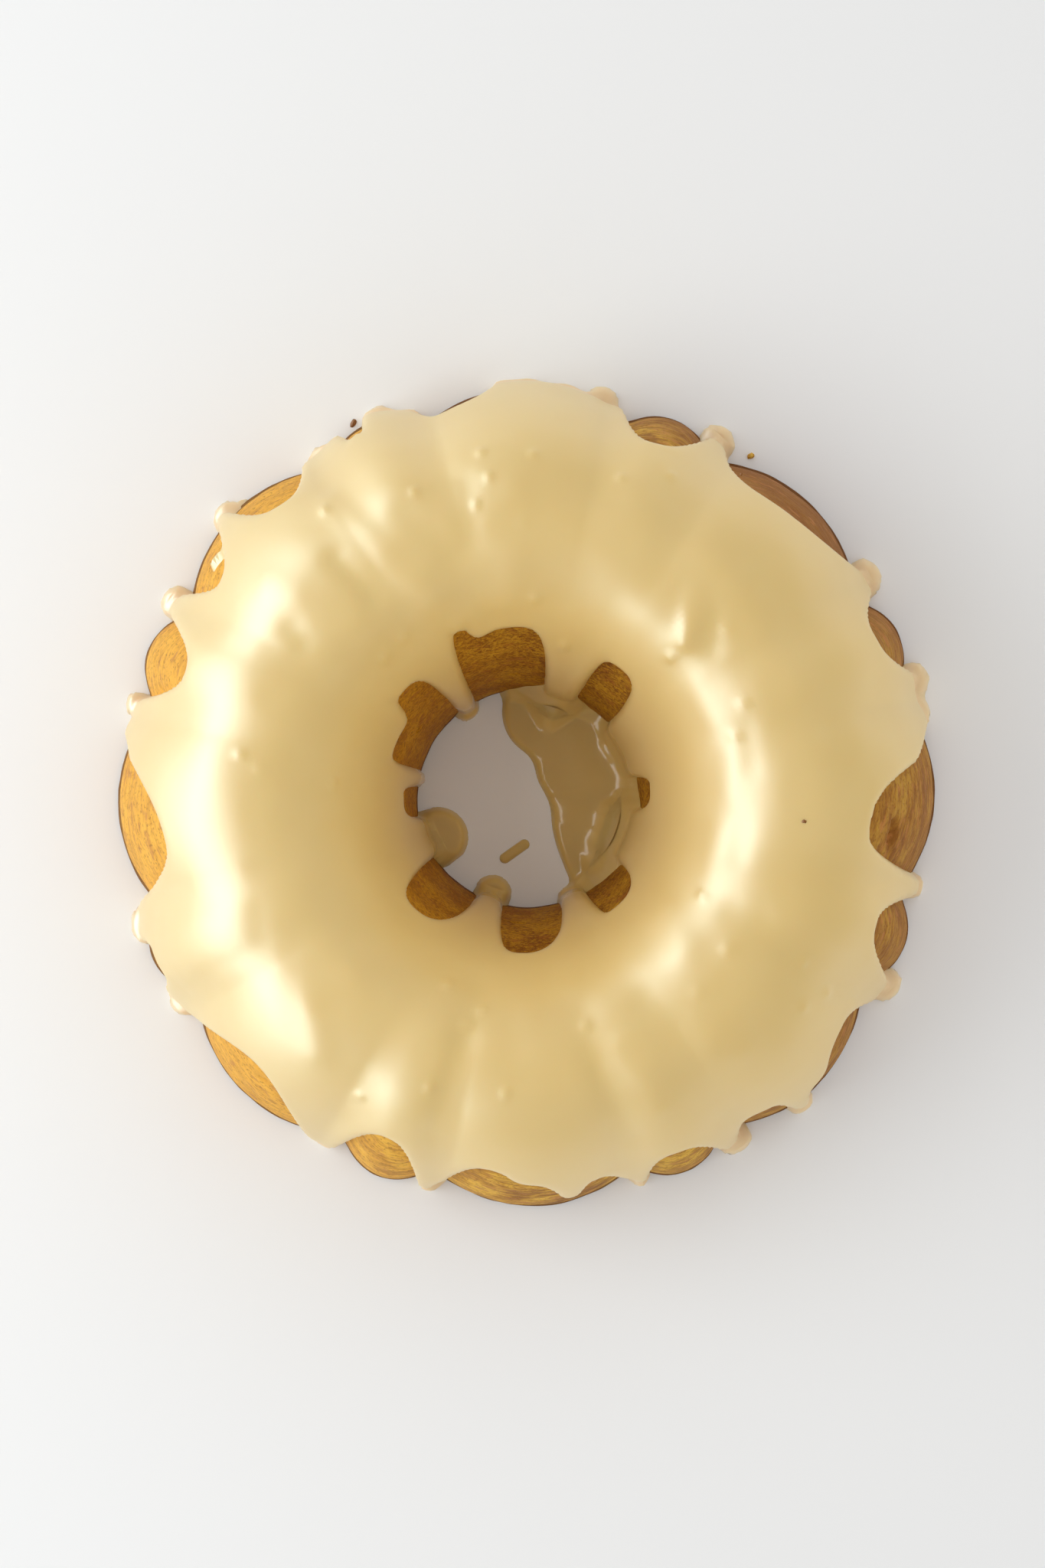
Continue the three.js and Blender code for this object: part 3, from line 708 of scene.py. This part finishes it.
def smooth_faces(thing, sharp_angle):
    mesh = thing.data
    mesh.polygons.foreach_set("use_smooth", [True] * len(mesh.polygons))
    mesh.set_sharp_from_angle(angle=sharp_angle * DEGREE)


def make_glaze():
    glaze = make_glaze_blank()
    cut(glaze, make_core())
    cut(glaze, make_floor_cutter())
    return glaze


def make_lump(name, place, relief=0.0):
    """A small rounded bit of food with a flat underside."""
    x, y, z, half_length, half_width, height, turn = place
    angle = directions(LUMP_SPOKES) * DEGREE
    ahead, sideways = math.cos(turn * DEGREE), math.sin(turn * DEGREE)
    rings = []
    for swing in np.linspace(0, LUMP_TOP, LUMP_ROWS) * DEGREE:
        girth = half_width * math.cos(swing)
        along = girth * np.cos(angle) + np.sign(np.cos(angle)) * (half_length - half_width)
        aside = girth * np.sin(angle)
        level = np.full(len(angle), z + height * math.sin(swing))
        rings.append(np.stack([x + along * ahead - aside * sideways,
                               y + along * sideways + aside * ahead, level], -1))
    if relief:
        rings = rings[:1] + [ring + relief * value_noise(ring, LUMP_CELL, LUMP_SEED)[:, None]
                             for ring in rings[1:]]
    return mesh_from_rings(name, rings, caps=((x, y, z), (x, y, z + height)))


def join_pieces(name, pieces):
    """Several meshes as one piece."""
    for piece in bpy.context.view_layer.objects:
        piece.select_set(piece in pieces)
    bpy.context.view_layer.objects.active = pieces[0]
    bpy.ops.object.join()
    pieces[0].name = name
    return pieces[0]


# ---- node helpers ----

class Nodes:
    """Adds and links nodes in one tree with short calls."""

    def __init__(self, tree):
        self.tree = tree

    def add(self, kind, **settings):
        node = self.tree.nodes.new(kind)
        for name, value in settings.items():
            setattr(node, name, value)
        return node

    def link(self, source, target):
        self.tree.links.new(source, target)

    def feed(self, target, value):
        """Links a socket or sets a plain value."""
        if isinstance(value, bpy.types.NodeSocket):
            self.link(value, target)
        else:
            target.default_value = value

    def math(self, operation, first, second=0.0):
        node = self.add("ShaderNodeMath", operation=operation)
        self.feed(node.inputs[0], first)
        self.feed(node.inputs[1], second)
        return node.outputs[0]

    def noise(self, place, scale, detail, roughness, stretch=None):
        node = self.add("ShaderNodeTexNoise")
        self.feed(node.inputs["Vector"], self.stretched(place, stretch) if stretch else place)
        node.inputs["Scale"].default_value = scale
        node.inputs["Detail"].default_value = detail
        node.inputs["Roughness"].default_value = roughness
        return node.outputs["Fac"]

    def stretched(self, place, scale):
        node = self.add("ShaderNodeMapping")
        self.feed(node.inputs["Vector"], place)
        node.inputs["Scale"].default_value = scale
        return node.outputs["Vector"]

    def ramp(self, value, stops):
        """A value turned into a colour by (place, colour) stops."""
        node = self.add("ShaderNodeValToRGB")
        self.feed(node.inputs["Fac"], value)
        band = node.color_ramp
        while len(band.elements) < len(stops):
            band.elements.new(1.0)
        for element, (place, colour) in zip(band.elements, stops):
            element.position = place
            element.color = (*colour, 1.0)
        return node.outputs["Color"]

    def mask(self, value, start, stop):
        """0 before start and 1 past stop, smoothly between."""
        node = self.add("ShaderNodeMapRange", interpolation_type="SMOOTHSTEP")
        self.feed(node.inputs["Value"], value)
        self.feed(node.inputs["From Min"], start)
        self.feed(node.inputs["From Max"], stop)
        return node.outputs["Result"]

    def mix(self, share, first, second, blend="MIX"):
        """Two colours mixed. A colour is a socket or three numbers."""
        node = self.add("ShaderNodeMix", data_type="RGBA", blend_type=blend)
        self.feed(node.inputs[0], share)
        for target, colour in ((node.inputs[6], first), (node.inputs[7], second)):
            self.feed(target, (*colour, 1.0) if isinstance(colour, tuple) else colour)
        return node.outputs[2]

    def tint(self, colour, mask, tint, strength):
        """A colour with a tint laid over it, as strong as given where the mask is 1."""
        return self.mix(self.scaled(mask, strength), colour, tint)

    def fade(self, value, ends):
        """A mask of a distance, between two ends in millimetres."""
        return self.mask(value, ends[0] * MM, ends[1] * MM)

    def scaled(self, value, factor):
        return self.math("MULTIPLY", value, factor)

    def split(self, vector):
        node = self.add("ShaderNodeSeparateXYZ")
        self.feed(node.inputs[0], vector)
        return node.outputs

    def zone(self, place, radius, height):
        """The group that masks a zone of the cake, by (start, stop) of radius and of height."""
        node = self.add("ShaderNodeGroup", node_tree=zone_group())
        self.feed(node.inputs["Place"], place)
        for name, value in zip(ZONE_INPUTS, (*radius, *height)):
            node.inputs[name].default_value = value * MM
        return node.outputs["Mask"]

    def bump(self, height, strength, distance, normal=None):
        node = self.add("ShaderNodeBump")
        node.inputs["Strength"].default_value = strength
        node.inputs["Distance"].default_value = distance
        self.feed(node.inputs["Height"], height)
        if normal is not None:
            self.feed(node.inputs["Normal"], normal)
        return node.outputs["Normal"]


def new_material(name):
    material = bpy.data.materials.new(name)
    material.use_nodes = True
    tree = material.node_tree
    tree.nodes.clear()
    nodes = Nodes(tree)
    shader = nodes.add("ShaderNodeBsdfPrincipled")
    output = nodes.add("ShaderNodeOutputMaterial")
    nodes.link(shader.outputs["BSDF"], output.inputs["Surface"])
    return material, nodes, shader


def place_of(nodes):
    return nodes.add("ShaderNodeTexCoord").outputs["Object"]


ZONE_INPUTS = ("Radius Start", "Radius Stop", "Height Start", "Height Stop")


def zone_group():
    """Masks a zone between two distances from the axis and two heights. Built once."""
    group = bpy.data.node_groups.get("cake_zone")
    if group:
        return group
    group = bpy.data.node_groups.new("cake_zone", "ShaderNodeTree")
    group.interface.new_socket(name="Place", in_out="INPUT", socket_type="NodeSocketVector")
    for name in ZONE_INPUTS:
        group.interface.new_socket(name=name, in_out="INPUT", socket_type="NodeSocketFloat")
    group.interface.new_socket(name="Mask", in_out="OUTPUT", socket_type="NodeSocketFloat")
    nodes = Nodes(group)
    given = nodes.add("NodeGroupInput").outputs
    flat = nodes.add("ShaderNodeVectorMath", operation="LENGTH")
    nodes.link(nodes.stretched(given["Place"], (1.0, 1.0, 0.0)), flat.inputs[0])
    radius = nodes.mask(flat.outputs["Value"], given["Radius Start"], given["Radius Stop"])
    level = nodes.split(given["Place"])["Z"]
    height = nodes.mask(level, given["Height Start"], given["Height Stop"])
    nodes.link(nodes.math("MULTIPLY", radius, height), nodes.add("NodeGroupOutput").inputs["Mask"])
    return group


# ---- finishes ----

CRUST_GOLD = (0.52, 0.255, 0.024)
CRUST_BROWN = (0.25, 0.09, 0.008)
CRUST_ORANGE = (0.50, 0.19, 0.045)
# Toasted brown, also used as painted shade on the right side
CRUST_TOASTED_AND_SHADE = (0.29, 0.10, 0.012)
# Painted light on the left side
CRUST_PAINTED_LIGHT = (0.92, 0.45, 0.045)
CRUST_DARK = (0.13, 0.045, 0.010)
CRUMB_YELLOW = (0.74, 0.44, 0.05)
# Painted shade, multiplied over the crust in the hole
HOLE_PAINTED_SHADE = (0.76, 0.66, 0.35)
# Painted shade of the glaze in the pool
GLAZE_POOL_PAINTED_SHADE = (0.70, 0.49, 0.16)
GLAZE_TAN = (0.79, 0.555, 0.185)
GLAZE_CREAM = (0.81, 0.58, 0.21)
# Painted light on the glaze at the feet
GLAZE_FOOT_PAINTED_LIGHT = (0.86, 0.62, 0.33)

# Zones of the finishes, in millimetres: where each fades in by radius, then by height.
ANY_HEIGHT = (-20, -10)
HOLE_WALL = ((66, 50), ANY_HEIGHT)
# The pool, where the glaze is smoother and has painted shade
POOL_ZONE = ((50, 40), (22, 6))
# The feet outside, where the glaze has painted light
FOOT_LIGHT_ZONE = ((108, 116), (16, 5))
# Where each of these fades in along X, along the direction of the darkest side, or by height.
# Paler towards the left, where the light comes from: painted light
PAINTED_LIGHT_SIDE = (20, -85)
# Darker brown towards the right, away from the light: painted shade
PAINTED_SHADE_SIDE = (30, 95)
TOASTED_TURN = 48
TOASTED_REACH = (96, 116)
LIP_FADE = (5.4, 3.6)
LIP_WANDER = 2             # how much the lip's upper edge rises and falls
LOOSE_BROWN_HEIGHT = (60, 70)
LOOSE_BROWN_SIDE = (10, -20)
CRUST_STOPS = ((0.41, CRUST_BROWN), (0.50, CRUST_GOLD), (0.58, CRUMB_YELLOW))

# Noises of the finishes: scale, detail, roughness and stretch, and the levels where their masks
# fade in.
CRUMB_GRAIN = (850, 3, 0.8, (1.0, 1.0, 1.5))
CRUST_WRINKLES = (800, 3, 0.7, (0.2, 0.2, 0.75))
# Painted shade in the creases of the wrinkles fades in between these levels
CREASE_SHADE_LEVELS = (0.52, 0.40)
CRUST_PATCHES = (90, 3, 0.55)
CRUST_BLOTCHES = (190, 2, 0.5, (1.0, 1.0, 2.0))
BLOTCH_LEVELS = (0.56, 0.68)
CRUST_PORES = (1000, 1, 0.4)
PORE_LEVELS = (0.60, 0.68)
GLAZE_CLOUDS = (30, 2, 0.55)
CLOUD_LEVELS = (0.3, 0.7)
GLAZE_FINE = (160, 2, 0.55)
LOOSE_GRAIN = (1200, 2, 0.55)
LOOSE_LEVELS = (0.4, 0.6)

# How strong each layer of the crust is.
GRAIN_CONTRAST = (0.37, 0.33)      # outside, and how much more in the hole
PATCH_CONTRAST = 0.35
PAINTED_LIGHT_STRENGTH = 0.7
PAINTED_SHADE_STRENGTH = 0.55
TOASTED_STRENGTH = 0.8
CREASE_SHADE_STRENGTH = (0.32, 0.15)       # outside, and how much less on the lit side
BLOTCH_STRENGTH = 0.6
LIP_STRENGTH = 0.85
# Painted shade in the pores
PORE_SHADE_STRENGTH = 0.42

# Relief of the finishes: strength, and height in metres.
CRUST_RELIEF = (0.8, 0.6 * MM)
PORE_RELIEF = (0.6, -0.3 * MM)
GLAZE_RELIEF = (0.10, 0.5 * MM)
LOOSE_RELIEF = (0.7, 0.4 * MM)

GLAZE_ROUGHNESS = (0.50, 0.37)     # on the cake, and how much smoother in the pool


def set_plain(shader, **values):
    """Sets sockets of the shader that have one value all over."""
    for name, value in values.items():
        shader.inputs[name.replace("_", " ")].default_value = value


def crumb_colour(nodes, inside, grain, patches):
    """The crust's colour by its grain, before any side of it has browned."""
    outside_contrast, more_inside = GRAIN_CONTRAST
    contrast = nodes.math("ADD", nodes.scaled(inside, more_inside), outside_contrast)
    tone = nodes.math("ADD", nodes.math("MULTIPLY", nodes.math("SUBTRACT", grain, 0.5), contrast),
                      nodes.scaled(nodes.math("SUBTRACT", patches, 0.5), PATCH_CONTRAST))
    return nodes.ramp(nodes.math("ADD", tone, 0.5), CRUST_STOPS)


def lit_shaded_toasted_colour(nodes, place, colour, lit_side):
    """Painted light on the left side, painted shade on the right side, and toasting towards one
    side.
    """
    # Painted light: paler on the left side, where the light comes from.
    colour = nodes.tint(colour, lit_side, CRUST_PAINTED_LIGHT, PAINTED_LIGHT_STRENGTH)
    # Painted shade: darker brown on the right side, away from the light.
    shaded_side = nodes.fade(nodes.split(place)["X"], PAINTED_SHADE_SIDE)
    colour = nodes.tint(colour, shaded_side, CRUST_TOASTED_AND_SHADE, PAINTED_SHADE_STRENGTH)
    aside = nodes.add("ShaderNodeVectorMath", operation="DOT_PRODUCT")
    nodes.link(place, aside.inputs[0])
    turn = TOASTED_TURN * DEGREE
    aside.inputs[1].default_value = (math.cos(turn), math.sin(turn), 0)
    toasted = nodes.fade(aside.outputs["Value"], TOASTED_REACH)
    return nodes.tint(colour, toasted, CRUST_TOASTED_AND_SHADE, TOASTED_STRENGTH)


def marked_colour(nodes, place, colour, crease_shade, patches, pores):
    """The colour with painted shade in the creases and the pores, its blotches, and the lip at the
    base.
    """
    # Painted shade: dark streaks in the creases of the wrinkles.
    colour = nodes.mix(crease_shade, colour, CRUST_BROWN)
    blotch = nodes.mask(nodes.noise(place, *CRUST_BLOTCHES), *BLOTCH_LEVELS)
    colour = nodes.tint(colour, blotch, CRUST_ORANGE, BLOTCH_STRENGTH)
    level = nodes.math("ADD", nodes.split(place)["Z"], nodes.scaled(patches, LIP_WANDER * MM))
    colour = nodes.tint(colour, nodes.fade(level, LIP_FADE), CRUST_DARK, LIP_STRENGTH)
    # Painted shade: the pores are darker.
    return nodes.tint(colour, pores, CRUST_BROWN, PORE_SHADE_STRENGTH)


def crust_material():
    """Baked crust: wrinkled outside and porous in the hole, with painted light on the lit side and
    painted shade on the other side, in the hole, in the creases and in the pores.
    """
    material, nodes, shader = new_material("baked_crust")
    place = place_of(nodes)
    inside = nodes.zone(place, *HOLE_WALL)
    outside = nodes.math("SUBTRACT", 1.0, inside)
    wrinkles = nodes.noise(place, *CRUST_WRINKLES)
    patches = nodes.noise(place, *CRUST_PATCHES)
    pores = nodes.mask(nodes.noise(place, *CRUST_PORES), *PORE_LEVELS)
    # Painted light: the crust is paler towards the left.
    lit_side = nodes.fade(nodes.split(place)["X"], PAINTED_LIGHT_SIDE)
    grain = nodes.math("ADD", nodes.math("MULTIPLY", inside, nodes.noise(place, *CRUMB_GRAIN)),
                       nodes.math("MULTIPLY", outside, wrinkles))
    # Painted shade in the creases of the wrinkles, weaker on the lit side.
    crease_shade = nodes.math("MULTIPLY", nodes.mask(wrinkles, *CREASE_SHADE_LEVELS), outside)
    strength, less_on_pale = CREASE_SHADE_STRENGTH
    crease_shade = nodes.math("MULTIPLY", crease_shade,
                       nodes.math("SUBTRACT", strength, nodes.scaled(lit_side, less_on_pale)))

    colour = crumb_colour(nodes, inside, grain, patches)
    colour = lit_shaded_toasted_colour(nodes, place, colour, lit_side)
    colour = marked_colour(nodes, place, colour, crease_shade, patches, pores)
    # Painted shade: the crust in the hole is multiplied darker.
    colour = nodes.mix(inside, colour, HOLE_PAINTED_SHADE, blend="MULTIPLY")
    nodes.link(colour, shader.inputs["Base Color"])
    relief = nodes.bump(pores, *PORE_RELIEF, nodes.bump(grain, *CRUST_RELIEF))
    nodes.link(relief, shader.inputs["Normal"])
    set_plain(shader, Roughness=0.62, Specular_IOR_Level=0.15)
    return material


def glaze_material():
    """Poured sugar glaze: cream on the cake, glossier in the pool, darker there with painted
    shade, and paler at the feet with painted light.
    """
    material, nodes, shader = new_material("poured_glaze")
    place = place_of(nodes)
    cloud = nodes.mask(nodes.noise(place, *GLAZE_CLOUDS), *CLOUD_LEVELS)
    pool = nodes.zone(place, *POOL_ZONE)
    colour = nodes.mix(cloud, GLAZE_TAN, GLAZE_CREAM)
    # Painted shade: the glaze in the pool is darker.
    colour = nodes.mix(pool, colour, GLAZE_POOL_PAINTED_SHADE)
    # Painted light: the glaze at the feet outside is paler.
    colour = nodes.mix(nodes.zone(place, *FOOT_LIGHT_ZONE), colour, GLAZE_FOOT_PAINTED_LIGHT)
    nodes.link(colour, shader.inputs["Base Color"])
    on_cake, smoother = GLAZE_ROUGHNESS
    roughness = nodes.math("SUBTRACT", on_cake, nodes.scaled(pool, smoother))
    nodes.link(roughness, shader.inputs["Roughness"])
    relief = nodes.bump(nodes.noise(place, *GLAZE_FINE), *GLAZE_RELIEF)
    nodes.link(relief, shader.inputs["Normal"])
    set_plain(shader, Specular_IOR_Level=0.8, Coat_Weight=0.8, Coat_Roughness=0.42,
              Subsurface_Weight=0.25, Subsurface_Radius=(1.0, 0.6, 0.3), Subsurface_Scale=4 * MM)
    return material


def loose_material():
    """Loose crumbs: yellow on the floor at one side, and brown elsewhere."""
    material, nodes, shader = new_material("loose_crumb")
    place = place_of(nodes)
    axes = nodes.split(place)
    grain = nodes.noise(place, *LOOSE_GRAIN)
    colour = nodes.mix(nodes.mask(grain, *LOOSE_LEVELS), CRUST_GOLD, CRUMB_YELLOW)
    colour = nodes.mix(nodes.fade(axes["Z"], LOOSE_BROWN_HEIGHT), colour, CRUST_BROWN)
    colour = nodes.mix(nodes.fade(axes["X"], LOOSE_BROWN_SIDE), colour, CRUST_BROWN)
    nodes.link(colour, shader.inputs["Base Color"])
    nodes.link(nodes.bump(grain, *LOOSE_RELIEF), shader.inputs["Normal"])
    set_plain(shader, Roughness=0.7)
    return material


def floor_material():
    material, _, shader = new_material("studio_floor")
    set_plain(shader, Base_Color=(0.88, 0.88, 0.875, 1), Roughness=0.7)
    return material


# ---- light, floor and camera ----

CAMERA_HEIGHT = 1.0
FRAME_HEIGHT = 0.4751      # how much of the base plane the picture's height takes in
AXIS_RIGHT = 0.0013        # how far the cake's axis stands right of the picture's middle
AXIS_BELOW = 0.0042        # and below it
SENSOR = 36.0
FLOOR_SIDE = 6

# The walls and the ceiling of the room: sign and axis of the side, and its brightness, which
# fades away from the middle of the side.
WALL_LIGHTS = ((1, "X", 0.82), (1, "Y", 1.13), (-1, "Y", 0.98), (1, "Z", 0.47))
WALL_FOCUS = 1.5
# Lights: place, what it points at, width and height, watts. One is the light from the left, and
# the other is the low window that only shines in glossy faces.
SOFT_LIGHT = ((-1.03, 0.0, 0.70), (0, 0, 0.04), (1.2, 1.1), 8.8)
WINDOW_SHINE = ((-1.10, 0.0, 0.37), (0, 0, 0.04), (3.0, 0.90), 62)
WINDOW_COLOUR = (0.70, 0.92, 1.0)


def make_camera():
    lens = bpy.data.cameras.new("camera")
    lens.sensor_fit = "VERTICAL"
    lens.sensor_height = SENSOR
    lens.lens = SENSOR * CAMERA_HEIGHT / FRAME_HEIGHT
    camera = bpy.data.objects.new("camera", lens)
    camera.location = (-AXIS_RIGHT, AXIS_BELOW, CAMERA_HEIGHT)
    bpy.context.scene.collection.objects.link(camera)
    bpy.context.scene.camera = camera


def add_area_light(name, place, aim, size, power):
    lamp = bpy.data.lights.new(name, "AREA")
    lamp.shape = "RECTANGLE"
    lamp.size, lamp.size_y = size
    lamp.energy = power
    light = bpy.data.objects.new(name, lamp)
    light.location = place
    light.rotation_euler = (Vector(aim) - Vector(place)).to_track_quat("-Z", "Y").to_euler()
    bpy.context.scene.collection.objects.link(light)
    return light


def make_world():
    """A room with a dim ceiling, bright walls on three sides and a dark one behind the lights."""
    world = bpy.data.worlds.new("studio")
    world.use_nodes = True
    nodes = Nodes(world.node_tree)
    background = world.node_tree.nodes["Background"]
    axes = nodes.split(nodes.add("ShaderNodeTexCoord").outputs["Generated"])
    total = 0.0
    for sign, axis, strength in WALL_LIGHTS:
        facing = nodes.math("MAXIMUM", nodes.scaled(axes[axis], sign), 0.0)
        side = nodes.scaled(nodes.math("POWER", facing, WALL_FOCUS), strength)
        total = nodes.math("ADD", side, total)
    nodes.link(total, background.inputs["Strength"])
    background.inputs["Color"].default_value = (1, 1, 1, 1)
    world.cycles_visibility.glossy = False
    bpy.context.scene.world = world


def make_light():
    make_world()
    add_area_light("soft_light", *SOFT_LIGHT)
    shine = add_area_light("window_shine", *WINDOW_SHINE)
    shine.visible_diffuse = False
    shine.data.color = WINDOW_COLOUR
    bpy.context.scene.view_settings.view_transform = "Standard"


def make_floor():
    bpy.ops.mesh.primitive_plane_add(size=FLOOR_SIDE, location=(0, 0, 0))
    floor = bpy.context.object
    floor.name = "studio_floor"
    floor.data.materials.append(floor_material())


# ---- the scene ----

def dress(piece, material, sharp_angle):
    """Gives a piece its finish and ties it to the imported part."""
    smooth_faces(piece, sharp_angle)
    piece.data.materials.clear()
    piece.data.materials.append(material)
    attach(piece, "root")


def main():
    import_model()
    make_camera()
    make_light()
    make_floor()

    cake = make_cake()
    dress(cake, crust_material(), CRUST_SHARP)
    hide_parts("cake")

    glaze = make_glaze()
    dress(glaze, glaze_material(), GLAZE_SHARP)
    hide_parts("glaze")

    crumbs = join_pieces("crumbs", [make_lump("crumb", place, CRUMB_RELIEF) for place in CRUMBS])
    dress(crumbs, loose_material(), CRUST_SHARP)

    droplet = make_lump("droplet", DROPLET)
    dress(droplet, glaze.data.materials[0], DROPLET_SHARP)


main()
